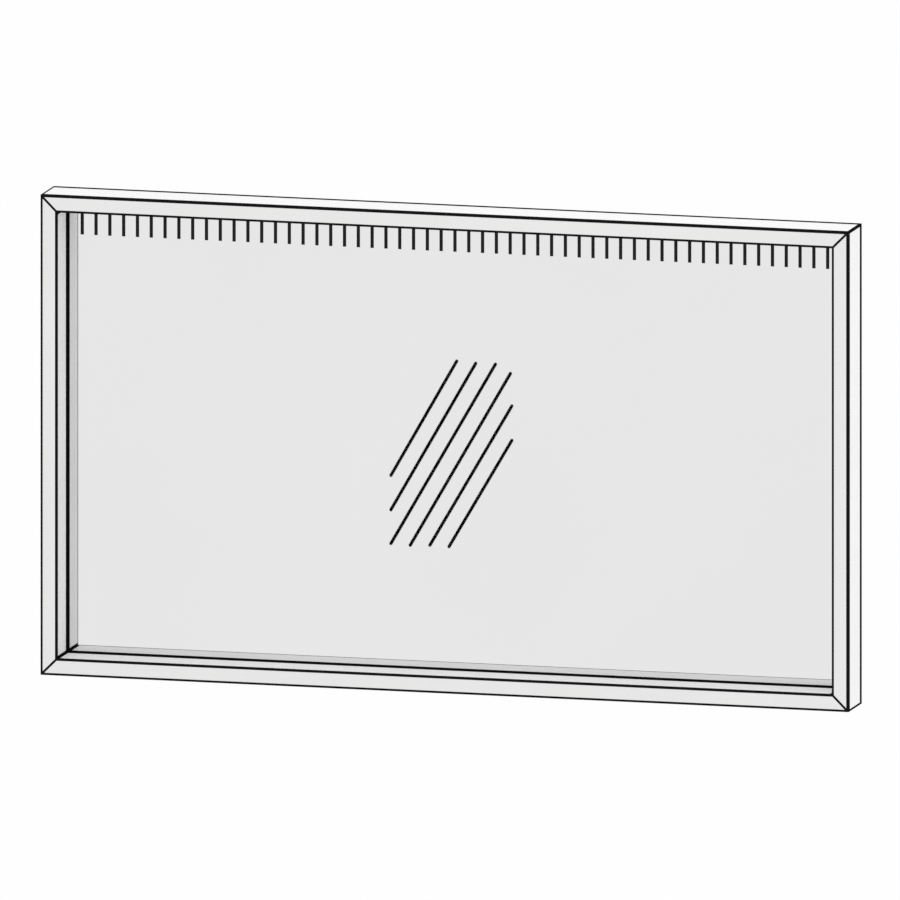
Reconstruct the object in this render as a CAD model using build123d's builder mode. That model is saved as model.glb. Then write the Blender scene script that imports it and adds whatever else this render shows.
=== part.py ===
# Framed wall mirror with a lamp in the hood of its frame, hung on a wall rail.
# The front faces -Y, the wall plane is Y = 0, and +Z is up. The origin lies on the
# wall plane, midway along the line of screw holes in the wall rail.
import math
import os

from build123d import *

os.makedirs("parts", exist_ok=True)

# Framed mirror, overall
mirror_width = 1200.0
mirror_height = 700.0
hang_drop = 61.0  # line of wall screws to the top edge of the frame

# Frame extrusion
face_width = 25.0  # front face, outer side to the opening
wall = 2.0
rib = 1.5
key_slot = 6.0  # room behind the front wall for the flat corner keys
wiring_void = 27.5  # room between the two ribs for driver, terminal and leads
lamp_void = 16.5  # room behind the rear rib for the lamp
edge_radius = 1.0
mitre_gap = 0.3  # shadow line of a mitre, measured along the member
skirt_gap = 0.5  # rear edge of the frame to the wall

# Glass and its bedding
glass_thickness = 5.0
glass_overlap = 8.0  # how far the glass runs behind the frame
gasket_thickness = 2.0
gasket_width = 6.0
gasket_setback = 1.0
foam_thickness = 3.5
foam_width = 12.0
foam_inset = 4.0  # foam strip inside the edge of the glass
block_length = 80.0
block_height = 2.0
block_side = 300.0  # side of the mirror to the middle of a block
panel_thickness = 1.5
panel_clearance = 1.0
panel_corner = 4.0

# Engraved light lines under the top of the frame, one below each lamp chip
line_pitch = 20.5
line_margin = 21.0  # least room beside the row, to the middle of its end lines
line_width = 5.0
line_length = 42.0
line_depth = 0.6

# Lamp in the hood
slot_end = 10.0  # end of the lens slot to the side of the opening
lamp_height = 10.4
lamp_wall = 1.2
lamp_clearance = 0.2
lens_flange = 1.3
lens_shoulder = 0.85  # inside of the channel to the side of the lens slot
lens_recess = 0.2
board_thickness = 1.2
board_margin = 0.4
chip_length = 3.0
chip_width = 2.8
chip_height = 0.7
cap_plate = 2.5

# Driver, terminal block and mounting tape
tape_thickness = 1.0
tape_margin = 4.0
driver_length = 160.0
driver_side_gap = 0.75
driver_low_gap = 2.5
driver_corner = 1.5
driver_end = 10.0
terminal_length = 26.0
terminal_width = 18.0
terminal_height = 12.0
terminal_side = 147.0  # right side of the mirror to the middle of the block
terminal_screw_radius = 1.9
terminal_screw_recess = 1.0
terminal_poles = 3
terminal_pitch = 8.0

# Leads inside the frame
mains_lead_length = 40.0
mains_lead_radius = 1.2
mains_lead_spread = 8.0
lamp_lead_width = 2.4  # flat twin lead
lamp_lead_thickness = 1.4
lamp_lead_reach = 24.0  # driver to the place where the lead turns to the lamp
lamp_lead_inset = 6.5
switch_lead_width = 4.0  # flat twin lead
switch_lead_thickness = 2.2
switch_lead_bend = 36.0
lead_hole_clearance = 0.8
lead_bend_share = 0.45  # bend radius as a share of the shorter run beside it
clip_length = 8.0
clip_width = 9.0
clip_cover = 1.6
clip_clearance = 0.05
clip_count = 3

# Cable inlet at the back
inlet_side = 110.0  # right side of the mirror to the middle of the inlet
inlet_radius = 3.0
grommet_neck = 3.9
grommet_flange = 6.0
grommet_inner = 4.4
grommet_lip = 1.5
grommet_clearance = 0.1
grommet_side_gap = 0.3
inlet_clearance = 0.6

# Rocker switch under the lower right of the frame
switch_side = 100.0  # right side of the mirror to the middle of the switch
switch_length = 19.4
switch_width = 13.0
switch_body = 15.0
switch_wall = 1.0
switch_cavity = 10.0
bezel_margin = 1.8
bezel_thickness = 1.2
bezel_corner = 1.5
switch_fit = 0.2
rocker_fit = 0.3
rocker_throw = 16.0  # degrees between off and on
rocker_pivot = 2.5  # pivot above the underside of the frame
rocker_face = 2.7  # pivot to either flat of the rocker
rocker_back = 3.2
pivot_radius = 1.25
pivot_clearance = 0.05
pivot_engagement = 0.7

# Corner keys and screws
key_clearance = 0.15
front_key_arm = 60.0
rear_key_arm = 50.0
key_screw_inset = 35.0
screw_radius = 1.6
screw_head = 3.4
screw_crown = 2.6
screw_head_height = 2.0
screw_length = 8.0
screw_clearance = 0.1

# Hanging rails
rail_side = 150.0  # side of the mirror to the end of either rail
rail_thickness = 2.0
rail_flange = 24.0
hook_height = 17.0  # step of the wall rail to the tip of its hook
hook_grip = 12.0
hook_wall_gap = 0.5
hook_play = 0.7  # between the two hooks
hook_clearance = 0.8  # hook of the wall rail to the back panel
seat_clearance = 0.3
rail_screw_count = 5
rail_screw_end = 30.0
wall_hole_radius = 2.75
wall_hole_end = 50.0
wall_hole_inner = 400.0

# Bumpers that keep the lower half off the wall
bumper_radius = 8.0
bumper_stem = 3.0
bumper_barb = 3.7
bumper_barb_length = 1.2
bumper_foot = 6.5  # radius where it meets the wall
bumper_side = 60.0  # side of the mirror to the middle of a bumper
bumper_height = 45.0  # above the lower edge of the mirror

# Edges and depths that follow from the sizes above. Depths are measured from the
# front of the frame towards the wall, insets from its outer side inwards.
left_x = -mirror_width / 2
right_x = mirror_width / 2
top_z = hang_drop
bottom_z = top_z - mirror_height
middle_z = top_z - mirror_height / 2
opening_width = mirror_width - 2 * face_width
opening_half_height = mirror_height / 2 - face_width

key_slot_rear = wall + key_slot
wiring_front = key_slot_rear + rib
wiring_rear = wiring_front + wiring_void
wiring_middle = (wiring_front + wiring_rear) / 2
lamp_front = wiring_rear + rib
lamp_rear = lamp_front + lamp_void
lamp_middle = (lamp_front + lamp_rear) / 2
seat_rear = lamp_rear + wall
glass_recess = seat_rear + gasket_thickness
glass_rear = glass_recess + glass_thickness
leg_rear = glass_rear + foam_thickness
chamber_rear = leg_rear - wall
panel_rear = leg_rear + panel_thickness
hook_offset = hook_wall_gap + rail_thickness + hook_play
mirror_depth = panel_rear + hook_clearance + rail_thickness + hook_offset
skirt_rear = mirror_depth - skirt_gap
front_y = -mirror_depth

void_inner = face_width - wall
glass_inset = face_width - glass_overlap
leg_width = glass_inset - block_height
chamber_inner = leg_width - wall
screw_inset = (wall + chamber_inner) / 2
panel_inset = wall + panel_clearance
inlet_inset = wall + grommet_side_gap + grommet_flange
lead_inset = wall + tape_thickness + terminal_height / 2
lamp_top = void_inner - lamp_clearance - lamp_height

line_count = int((opening_width - 2 * line_margin) / line_pitch) + 1
slot_length = opening_width - 2 * slot_end
channel_inside = lamp_void - 2 * lamp_clearance - 2 * lamp_wall
slot_width = channel_inside - 2 * lens_shoulder
inlet_x = right_x - inlet_side
switch_x = right_x - switch_side
terminal_x = right_x - terminal_side
terminal_face = terminal_x - terminal_length / 2
driver_face = terminal_face - mains_lead_length
driver_x = driver_face - driver_end - driver_length / 2
lamp_lead_start = driver_x - driver_length / 2 - driver_end
lamp_lead_x = lamp_lead_start - lamp_lead_reach
rail_length = mirror_width - 2 * rail_side
rail_screw_pitch = (rail_length - 2 * rail_screw_end) / (rail_screw_count - 1)
wall_hole_outer = rail_length - 2 * wall_hole_end


def front_plane(depth):
    """Upright plane at a depth behind the frame's front, facing the viewer."""
    return Plane((0, front_y + depth, middle_z), x_dir=(1, 0, 0), z_dir=(0, -1, 0))


def level_plane(inset):
    """Level plane at an inset below the top edge of the frame, facing up."""
    return Plane.XY.offset(top_z - inset)


def cross_plane(x):
    """Plane across the mirror at x, facing +X, with Y and Z as its own axes."""
    return Plane.YZ.offset(x)


def cross_point(depth, inset):
    """Point of a cross plane from its depth and its inset below the top edge."""
    return (front_y + depth, top_z - inset)


def spaced(count, pitch):
    """Evenly spaced values about zero."""
    return [(index - (count - 1) / 2) * pitch for index in range(count)]


def finish(builder, name):
    builder.part.label = name
    export_step(builder.part, f"parts/{name}.step")


def drill(plane, points, radius, depth):
    """Round holes cut along the plane's normal, at points on the plane."""
    with BuildSketch(plane) as rounds:
        with Locations(*points):
            Circle(radius)
    extrude(rounds.sketch, amount=depth, mode=Mode.SUBTRACT)


def turned(points, depth, steps, mode=Mode.ADD):
    """Round pieces with their axes along the depth, each a stack of steps.

    The first step starts at the depth. A step is its length and its radius at either
    end, front first. Points are on a front plane.
    """
    outline = [(depth, 0)]
    for length, front_radius, rear_radius in steps:
        if outline[-1] != (depth, front_radius):
            outline.append((depth, front_radius))
        depth += length
        outline.append((depth, rear_radius))
    outline.append((depth, 0))
    for x, z in points:
        axis_z = middle_z + z
        with BuildSketch(cross_plane(x)) as half_section:
            with BuildLine():
                Polyline(*[(front_y + along, axis_z + out) for along, out in outline], close=True)
            make_face()
        axis = Axis((x, 0, axis_z), (0, 1, 0))
        revolve(half_section.sketch, axis=axis, mode=mode)


def cross_ring(inset, width):
    """Rectangular ring on a front plane, from an inset of the frame inwards."""
    Rectangle(mirror_width - 2 * inset, mirror_height - 2 * inset)
    inner = inset + width
    Rectangle(mirror_width - 2 * inner, mirror_height - 2 * inner, mode=Mode.SUBTRACT)


def corner_angles(outer, inner, arm):
    """Four L shapes on a front plane, one in each corner of the frame."""
    for side in (-1, 1):
        for end in (-1, 1):
            x, z = side * mirror_width / 2, end * mirror_height / 2
            with BuildLine() as outline:
                Polyline(
                    (x - side * outer, z - end * outer),
                    (x - side * arm, z - end * outer),
                    (x - side * arm, z - end * inner),
                    (x - side * inner, z - end * inner),
                    (x - side * inner, z - end * arm),
                    (x - side * outer, z - end * arm),
                    close=True,
                )
            make_face(outline.edges())


# Screw places on a front plane. Two screws by each corner also hold its rear key.
screw_hole = screw_radius + screw_clearance
screw_x = mirror_width / 2 - screw_inset
screw_z = mirror_height / 2 - screw_inset
corner_x = mirror_width / 2 - key_screw_inset
corner_z = mirror_height / 2 - key_screw_inset
rail_points = [(x, screw_z) for x in spaced(rail_screw_count, rail_screw_pitch)]
top_points = [(-corner_x, screw_z), (corner_x, screw_z)]
bottom_points = [(-corner_x, -screw_z), (0, -screw_z), (corner_x, -screw_z)]
left_points = [(-screw_x, -corner_z), (-screw_x, corner_z)]
right_points = [(screw_x, -corner_z), (screw_x, corner_z)]
panel_points = top_points + bottom_points + left_points + right_points
key_points = [point for point in panel_points if point[0] != 0]
inlet_point = (inlet_x, mirror_height / 2 - inlet_inset)
bumper_x = mirror_width / 2 - bumper_side
bumper_points = [(x, bumper_height - mirror_height / 2) for x in (-bumper_x, bumper_x)]

# Section of the frame extrusion: inset along X, depth along Y
with BuildSketch() as member_section:
    with BuildLine():
        Polyline(
            (0, 0),
            (face_width, 0),
            (face_width, seat_rear),
            (leg_width, seat_rear),
            (leg_width, leg_rear),
            (wall, leg_rear),
            (wall, skirt_rear),
            (0, skirt_rear),
            close=True,
        )
    make_face()
    fillet(member_section.vertices().group_by(Axis.Y)[0], radius=edge_radius)
    for void_front, void_rear, void_side in (
        (wall, key_slot_rear, void_inner),
        (wiring_front, wiring_rear, void_inner),
        (lamp_front, lamp_rear, void_inner),
        (seat_rear, chamber_rear, chamber_inner),
    ):
        with Locations((wall, void_front)):
            Rectangle(
                void_side - wall,
                void_rear - void_front,
                align=(Align.MIN, Align.MIN),
                mode=Mode.SUBTRACT,
            )


def mitred_member(start, length, screw_points):
    """One length of the extrusion, mitred at both ends, with its screw holes.

    The start plane lies at the outer front corner where the member begins: its X
    points inwards, its Y to the wall and its Z along the member.
    """
    with BuildSketch(start) as placed_section:
        add(member_section.sketch)
    extrude(placed_section.sketch, amount=length)
    along, inward = start.z_dir, start.x_dir
    half_gap = along * (mitre_gap / 2)
    split(bisect_by=Plane(start.origin + half_gap, z_dir=along - inward))
    end = start.origin + along * length
    split(bisect_by=Plane(end - half_gap, z_dir=(along + inward) * -1))
    drill(front_plane(leg_rear), screw_points, screw_hole, wall)


# Top member: lens slot in its underside, holes for the cable and the lamp lead
top_start = Plane((left_x, front_y, top_z), x_dir=(0, 0, -1), z_dir=(1, 0, 0))
with BuildPart() as frame_top:
    mitred_member(top_start, mirror_width, top_points + rail_points)
    with BuildSketch(level_plane(face_width)):
        with Locations((0, front_y + lamp_middle)):
            Rectangle(slot_length, slot_width)
    extrude(amount=wall, mode=Mode.SUBTRACT)
    drill(front_plane(leg_rear), [inlet_point], grommet_neck + grommet_clearance, wall)
    cable_hole = inlet_radius + inlet_clearance
    drill(front_plane(seat_rear), [inlet_point], cable_hole, wall)
    drill(front_plane(lamp_front), [inlet_point], cable_hole, rib)
    lamp_lead_point = (lamp_lead_x, mirror_height / 2 - lamp_lead_inset)
    lamp_lead_hole = lamp_lead_width / 2 + lead_hole_clearance
    drill(front_plane(lamp_front), [lamp_lead_point], lamp_lead_hole, rib)
finish(frame_top, "frame_top")

right_start = Plane((right_x, front_y, top_z), x_dir=(-1, 0, 0), z_dir=(0, 0, -1))
with BuildPart() as frame_right:
    mitred_member(right_start, mirror_height, right_points)
finish(frame_right, "frame_right")

# Bottom member: opening for the switch in its underside
bottom_start = Plane((right_x, front_y, bottom_z), x_dir=(0, 0, 1), z_dir=(-1, 0, 0))
under_plane = Plane(
    (switch_x, front_y + wiring_middle, bottom_z), x_dir=(1, 0, 0), z_dir=(0, 0, -1)
)
with BuildPart() as frame_bottom:
    mitred_member(bottom_start, mirror_width, bottom_points)
    with BuildSketch(under_plane):
        Rectangle(switch_length + 2 * switch_fit, switch_width + 2 * switch_fit)
    extrude(amount=-wall, mode=Mode.SUBTRACT)
finish(frame_bottom, "frame_bottom")

left_start = Plane((left_x, front_y, bottom_z), x_dir=(1, 0, 0), z_dir=(0, 0, 1))
with BuildPart() as frame_left:
    mitred_member(left_start, mirror_height, left_points)
finish(frame_left, "frame_left")

# Flat keys that line up the front of each mitre
with BuildPart() as front_corner_keys:
    with BuildSketch(front_plane(key_slot_rear - key_clearance)):
        corner_angles(wall + key_clearance, void_inner - key_clearance, front_key_arm)
    extrude(amount=key_slot - 2 * key_clearance)
finish(front_corner_keys, "front_corner_keys")

# Deep keys in the rear chamber, with the bores that the corner screws reach into
key_rear = chamber_rear - key_clearance
key_bore_depth = screw_length - panel_thickness - wall
with BuildPart() as rear_corner_keys:
    with BuildSketch(front_plane(key_rear)):
        corner_angles(wall + key_clearance, chamber_inner - key_clearance, rear_key_arm)
    extrude(amount=chamber_rear - seat_rear - 2 * key_clearance)
    drill(front_plane(key_rear), key_points, screw_hole, key_bore_depth)
finish(rear_corner_keys, "rear_corner_keys")


def engraved_lines():
    """Outlines of the row of lines that hangs from the top of the opening."""
    line_top = opening_half_height + gasket_setback
    with Locations((0, line_top - line_length / 2)):
        with GridLocations(line_pitch, 0, line_count, 1):
            Rectangle(line_width, line_length)


# Silvered glass with the lines cut in its face
with BuildPart() as mirror_glass:
    with BuildSketch(front_plane(glass_rear)):
        Rectangle(mirror_width - 2 * glass_inset, mirror_height - 2 * glass_inset)
    extrude(amount=glass_thickness)
    with BuildSketch(front_plane(glass_recess + line_depth)):
        engraved_lines()
    extrude(amount=line_depth, mode=Mode.SUBTRACT)
finish(mirror_glass, "mirror_glass")

# Enamel that fills the engraved lines
with BuildPart() as engraved_line_fill:
    with BuildSketch(front_plane(glass_recess + line_depth)):
        engraved_lines()
    extrude(amount=line_depth)
finish(engraved_line_fill, "engraved_line_fill")

with BuildPart() as glazing_gasket:
    with BuildSketch(front_plane(glass_recess)):
        cross_ring(face_width - gasket_setback - gasket_width, gasket_width)
    extrude(amount=gasket_thickness)
finish(glazing_gasket, "glazing_gasket")

# Blocks that carry the lower edge of the glass
block_spread = mirror_width - 2 * block_side
with BuildPart() as setting_blocks:
    with BuildSketch(front_plane(glass_rear)):
        with Locations((0, block_height / 2 + leg_width - mirror_height / 2)):
            with GridLocations(block_spread, 0, 2, 1):
                Rectangle(block_length, block_height)
    extrude(amount=glass_thickness)
finish(setting_blocks, "setting_blocks")

# Foam that presses the glass on to its gasket: four edge strips and two uprights
foam_half_width = mirror_width / 2 - glass_inset - foam_inset - foam_width / 2
foam_half_height = mirror_height / 2 - glass_inset - foam_inset - foam_width / 2
foam_upright = 2 * foam_half_height - foam_width
with BuildPart() as backing_foam:
    with BuildSketch(front_plane(leg_rear)):
        with GridLocations(0, 2 * foam_half_height, 1, 2):
            Rectangle(2 * foam_half_width + foam_width, foam_width)
        with GridLocations(2 * foam_half_width / 3, 0, 4, 1):
            Rectangle(foam_width, foam_upright - 2 * foam_inset)
    extrude(amount=foam_thickness)
finish(backing_foam, "backing_foam")

# Sheet back, which the legs of the frame carry all round
with BuildPart() as back_panel:
    with BuildSketch(front_plane(panel_rear)):
        RectangleRounded(
            mirror_width - 2 * panel_inset, mirror_height - 2 * panel_inset, panel_corner
        )
    extrude(amount=panel_thickness)
    rear_face = front_plane(panel_rear)
    drill(rear_face, panel_points + rail_points, screw_hole, panel_thickness)
    drill(rear_face, bumper_points, bumper_stem + screw_clearance, panel_thickness)
    drill(rear_face, [inlet_point], grommet_neck + grommet_clearance, panel_thickness)
finish(back_panel, "back_panel")

screw_tip = panel_rear - screw_length
pan_head = (screw_head_height, screw_head, screw_crown)
with BuildPart() as panel_screws:
    turned(panel_points, screw_tip, [(screw_length, screw_radius, screw_radius), pan_head])
finish(panel_screws, "panel_screws")

# Rail on the mirror: its hook points down behind the hook of the wall rail
hook_tip_z = rail_flange / 2 + hook_height
seat_z = hook_tip_z + seat_clearance
panel_y = front_y + panel_rear
with BuildPart() as hanging_rail:
    with BuildSketch(cross_plane(-rail_length / 2)):
        with BuildLine():
            Polyline(
                (panel_y, seat_z),
                (-hook_wall_gap - rail_thickness, seat_z),
                (-hook_wall_gap - rail_thickness, seat_z - hook_grip),
                (-hook_wall_gap, seat_z - hook_grip),
                (-hook_wall_gap, seat_z + rail_thickness),
                (panel_y + rail_thickness, seat_z + rail_thickness),
                (panel_y + rail_thickness, top_z - panel_inset),
                (panel_y, top_z - panel_inset),
                close=True,
            )
        make_face()
    extrude(amount=rail_length)
    rail_rear = front_plane(panel_rear + rail_thickness)
    drill(rail_rear, rail_points, screw_hole, rail_thickness)
finish(hanging_rail, "hanging_rail")

rail_shank = (screw_length + rail_thickness, screw_radius, screw_radius)
with BuildPart() as rail_screws:
    turned(rail_points, screw_tip, [rail_shank, pan_head])
finish(rail_screws, "rail_screws")

# Rail on the wall: flange with the screw holes, step and upright hook
with BuildPart() as wall_rail:
    with BuildSketch(cross_plane(-rail_length / 2)):
        with BuildLine():
            Polyline(
                (0, -rail_flange / 2),
                (0, rail_flange / 2 + rail_thickness),
                (-hook_offset, rail_flange / 2 + rail_thickness),
                (-hook_offset, hook_tip_z),
                (-hook_offset - rail_thickness, hook_tip_z),
                (-hook_offset - rail_thickness, rail_flange / 2),
                (-rail_thickness, rail_flange / 2),
                (-rail_thickness, -rail_flange / 2),
                close=True,
            )
        make_face()
    extrude(amount=rail_length)
    wall_plane = Plane((0, 0, 0), x_dir=(1, 0, 0), z_dir=(0, -1, 0))
    wall_points = [(x, 0) for x in spaced(2, wall_hole_outer) + spaced(2, wall_hole_inner)]
    drill(wall_plane, wall_points, wall_hole_radius, rail_thickness)
finish(wall_rail, "wall_rail")

# Push-in bumpers between the back panel and the wall
with BuildPart() as wall_bumpers:
    turned(
        bumper_points,
        leg_rear - bumper_barb_length,
        [
            (bumper_barb_length, bumper_stem, bumper_barb),
            (panel_thickness, bumper_stem, bumper_stem),
            (mirror_depth - panel_rear, bumper_radius, bumper_foot),
        ],
    )
finish(wall_bumpers, "wall_bumpers")

with BuildPart() as cable_grommet:
    turned(
        [inlet_point],
        chamber_rear - grommet_lip,
        [
            (grommet_lip, grommet_neck, grommet_inner),
            (wall + panel_thickness, grommet_neck, grommet_neck),
            (grommet_lip, grommet_flange, grommet_inner),
        ],
    )
    grommet_length = 2 * grommet_lip + wall + panel_thickness
    drill(front_plane(panel_rear + grommet_lip), [inlet_point], inlet_radius, grommet_length)
finish(cable_grommet, "cable_grommet")

# Lamp: channel that carries the board, open below
lamp_length = slot_length + 2 * cap_plate
channel_front = lamp_front + lamp_clearance
channel_rear = lamp_rear - lamp_clearance
channel_bottom = lamp_top + lamp_height
with BuildPart() as lamp_channel:
    with BuildSketch(cross_plane(-lamp_length / 2)):
        with BuildLine():
            Polyline(
                cross_point(channel_front, lamp_top),
                cross_point(channel_rear, lamp_top),
                cross_point(channel_rear, channel_bottom),
                cross_point(channel_rear - lamp_wall, channel_bottom),
                cross_point(channel_rear - lamp_wall, lamp_top + lamp_wall),
                cross_point(channel_front + lamp_wall, lamp_top + lamp_wall),
                cross_point(channel_front + lamp_wall, channel_bottom),
                cross_point(channel_front, channel_bottom),
                close=True,
            )
        make_face()
    extrude(amount=lamp_length)
    lamp_lead_top = [(lamp_lead_x, front_y + lamp_middle)]
    drill(level_plane(lamp_top), lamp_lead_top, lamp_lead_hole, -lamp_wall)
finish(lamp_channel, "lamp_channel")

board_inset = lamp_top + lamp_wall
board_width = channel_inside - 2 * board_margin
with BuildPart() as lamp_board:
    with BuildSketch(level_plane(board_inset)):
        with Locations((0, front_y + lamp_middle)):
            Rectangle(slot_length, board_width)
    extrude(amount=-board_thickness)
finish(lamp_board, "lamp_board")

with BuildPart() as lamp_chips:
    with BuildSketch(level_plane(board_inset + board_thickness)):
        with Locations((0, front_y + lamp_middle)):
            with GridLocations(line_pitch, 0, line_count, 1):
                Rectangle(chip_length, chip_width)
    extrude(amount=-chip_height)
finish(lamp_chips, "lamp_chips")

# Opal lens: its nose fills the slot, its flange lies on the wall round the slot
lens_half = slot_width / 2 - lamp_clearance
flange_half = channel_inside / 2 - lamp_clearance
lens_length = slot_length - 2 * lamp_clearance
with BuildPart() as lamp_lens:
    with BuildSketch(cross_plane(-lens_length / 2)):
        with BuildLine():
            Polyline(
                cross_point(lamp_middle - flange_half, void_inner - lens_flange),
                cross_point(lamp_middle + flange_half, void_inner - lens_flange),
                cross_point(lamp_middle + flange_half, void_inner),
                cross_point(lamp_middle + lens_half, void_inner),
                cross_point(lamp_middle + lens_half, face_width - lens_recess),
                cross_point(lamp_middle - lens_half, face_width - lens_recess),
                cross_point(lamp_middle - lens_half, void_inner),
                cross_point(lamp_middle - flange_half, void_inner),
                close=True,
            )
        make_face()
    extrude(amount=lens_length)
finish(lamp_lens, "lamp_lens")

# Plugs that close both ends of the channel
plug_top = board_inset + lamp_clearance
with BuildPart() as lamp_end_caps:
    for end in (-1, 1):
        with BuildSketch(cross_plane(end * lamp_length / 2)) as cap_outline:
            with Locations(cross_point(lamp_middle, lamp_top + lamp_height / 2)):
                Rectangle(channel_rear - channel_front, lamp_height)
        extrude(cap_outline.sketch, amount=end * cap_plate)
        with BuildSketch(cross_plane(end * lamp_length / 2)) as plug_outline:
            with Locations(cross_point(lamp_middle, (plug_top + channel_bottom) / 2)):
                Rectangle(2 * flange_half, channel_bottom - plug_top)
        extrude(plug_outline.sketch, amount=-end * (cap_plate - lamp_clearance))
finish(lamp_end_caps, "lamp_end_caps")

# Driver: extruded case with a moulded cover on each end
driver_height = void_inner - wall - tape_thickness - driver_low_gap
driver_inset = wall + tape_thickness + driver_height / 2
driver_width = wiring_void - 2 * driver_side_gap


def driver_section():
    with Locations(cross_point(wiring_middle, driver_inset)):
        RectangleRounded(driver_width, driver_height, driver_corner)


with BuildPart() as driver_case:
    with BuildSketch(cross_plane(driver_x - driver_length / 2)):
        driver_section()
    extrude(amount=driver_length)
finish(driver_case, "driver_case")

with BuildPart() as driver_end_covers:
    for end in (-1, 1):
        with BuildSketch(cross_plane(driver_x + end * driver_length / 2)) as cover_outline:
            driver_section()
        extrude(cover_outline.sketch, amount=end * driver_end)
    for end in (-1, 1):
        outer_face = driver_end_covers.faces().sort_by(Axis.X)[min(end, 0)]
        chamfer(outer_face.edges(), length=driver_corner / 2)
finish(driver_end_covers, "driver_end_covers")

# Terminal block for the supply cable, with a recess over each clamping screw
terminal_bottom = wall + tape_thickness + terminal_height
with BuildPart() as terminal_block:
    with BuildSketch(level_plane(terminal_bottom)):
        with Locations((terminal_x, front_y + wiring_middle)):
            Rectangle(terminal_length, terminal_width)
    extrude(amount=terminal_height)
    terminal_places = [
        (terminal_x + x, front_y + wiring_middle) for x in spaced(terminal_poles, terminal_pitch)
    ]
    drill(level_plane(terminal_bottom), terminal_places, terminal_screw_radius, terminal_screw_recess)
finish(terminal_block, "terminal_block")

# Tape pads between the top wall of the frame, the driver and the terminal block
tape_width = driver_width - 2 * tape_margin
with BuildPart() as mounting_tape:
    with BuildSketch(level_plane(wall + tape_thickness)):
        with Locations((driver_x, front_y + wiring_middle)):
            with GridLocations(driver_length / 2, 0, 2, 1):
                Rectangle(driver_length / 4, tape_width)
        with Locations((terminal_x, front_y + wiring_middle)):
            Rectangle(terminal_length - tape_margin, terminal_width - tape_margin)
    extrude(amount=tape_thickness)
finish(mounting_tape, "mounting_tape")


def lead(points, bends, draw_section):
    """Lead along straight runs that are joined by arcs. Its section's X is depth."""
    with BuildLine() as route:
        if bends:
            FilletPolyline(*points, radius=bends)
        else:
            Line(*points)
    start = Plane(points[0], x_dir=(0, 1, 0), z_dir=route.line % 0)
    with BuildSketch(start) as lead_section:
        draw_section()
    sweep(lead_section.sketch, path=route.line)


lead_y = front_y + wiring_middle
lead_z = top_z - lead_inset
with BuildPart() as mains_leads:
    for y_shift in spaced(2, mains_lead_spread):
        lead_line = [(x, lead_y + y_shift, lead_z) for x in (terminal_face, driver_face)]
        lead(lead_line, None, lambda: Circle(mains_lead_radius))
finish(mains_leads, "mains_leads")

# Flat lead from the driver through the rib and down to the lamp board
lamp_lead_y = front_y + lamp_middle
lamp_lead_z = top_z - lamp_lead_inset
lamp_lead_points = [
    (lamp_lead_start, lead_y, lamp_lead_z),
    (lamp_lead_x, lead_y, lamp_lead_z),
    (lamp_lead_x, lamp_lead_y, lamp_lead_z),
    (lamp_lead_x, lamp_lead_y, top_z - board_inset),
]
lamp_lead_runs = [
    math.dist(first, second) for first, second in zip(lamp_lead_points, lamp_lead_points[1:])
]
lamp_lead_bends = [
    lead_bend_share * min(pair) for pair in zip(lamp_lead_runs, lamp_lead_runs[1:])
]
with BuildPart() as lamp_lead:
    lead(
        lamp_lead_points,
        lamp_lead_bends,
        lambda: Rectangle(lamp_lead_width, lamp_lead_thickness),
    )
finish(lamp_lead, "lamp_lead")

# Flat lead from the terminal block through the right side down to the switch
lead_column = right_x - lead_inset
switch_lead_z = bottom_z + lead_inset
switch_lead_points = [
    (terminal_x + terminal_length / 2, lead_y, lead_z),
    (lead_column, lead_y, lead_z),
    (lead_column, lead_y, switch_lead_z),
    (switch_x + switch_length / 2, lead_y, switch_lead_z),
]
with BuildPart() as switch_lead:
    lead(
        switch_lead_points,
        switch_lead_bend,
        lambda: Rectangle(switch_lead_width, switch_lead_thickness),
    )
finish(switch_lead, "switch_lead")

# Clips that hold that lead off the outer wall of the right side
clip_depth = lead_inset - wall + switch_lead_thickness / 2 + clip_cover
with BuildPart() as lead_clips:
    for height in spaced(clip_count, mirror_height / (clip_count + 1)):
        with BuildSketch(Plane.XY.offset(middle_z + height - clip_length / 2)) as clip_outline:
            with Locations((right_x - wall - clip_depth / 2, lead_y)):
                Rectangle(clip_depth, clip_width)
            with Locations((lead_column, lead_y)):
                Rectangle(
                    switch_lead_thickness + 2 * clip_clearance,
                    switch_lead_width + 2 * clip_clearance,
                    mode=Mode.SUBTRACT,
                )
        extrude(clip_outline.sketch, amount=clip_length)
finish(lead_clips, "lead_clips")

# Switch: bezel outside, body inside, open well with bores for the rocker's pivots
pivot_reach = switch_width / 2 - switch_wall + pivot_engagement
cavity_length = switch_length - 2 * switch_wall
cavity_width = switch_width - 2 * switch_wall
pivot_plane = Plane(
    (switch_x, front_y + wiring_middle, bottom_z + rocker_pivot),
    x_dir=(1, 0, 0),
    z_dir=(0, 1, 0),
)
with BuildPart() as switch_housing:
    with BuildSketch(under_plane):
        RectangleRounded(
            switch_length + 2 * bezel_margin, switch_width + 2 * bezel_margin, bezel_corner
        )
    extrude(amount=bezel_thickness)
    rim = switch_housing.faces().sort_by(Axis.Z)[0]
    chamfer(rim.edges(), length=bezel_thickness / 2)
    with BuildSketch(under_plane):
        Rectangle(switch_length, switch_width)
    extrude(amount=-switch_body)
    with BuildSketch(under_plane.offset(bezel_thickness)):
        Rectangle(cavity_length, cavity_width)
    extrude(amount=-(switch_cavity + bezel_thickness), mode=Mode.SUBTRACT)
    with BuildSketch(pivot_plane) as pivot_bore:
        Circle(pivot_radius + pivot_clearance)
    extrude(pivot_bore.sketch, amount=switch_width, both=True, mode=Mode.SUBTRACT)
finish(switch_housing, "switch_housing")

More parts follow.
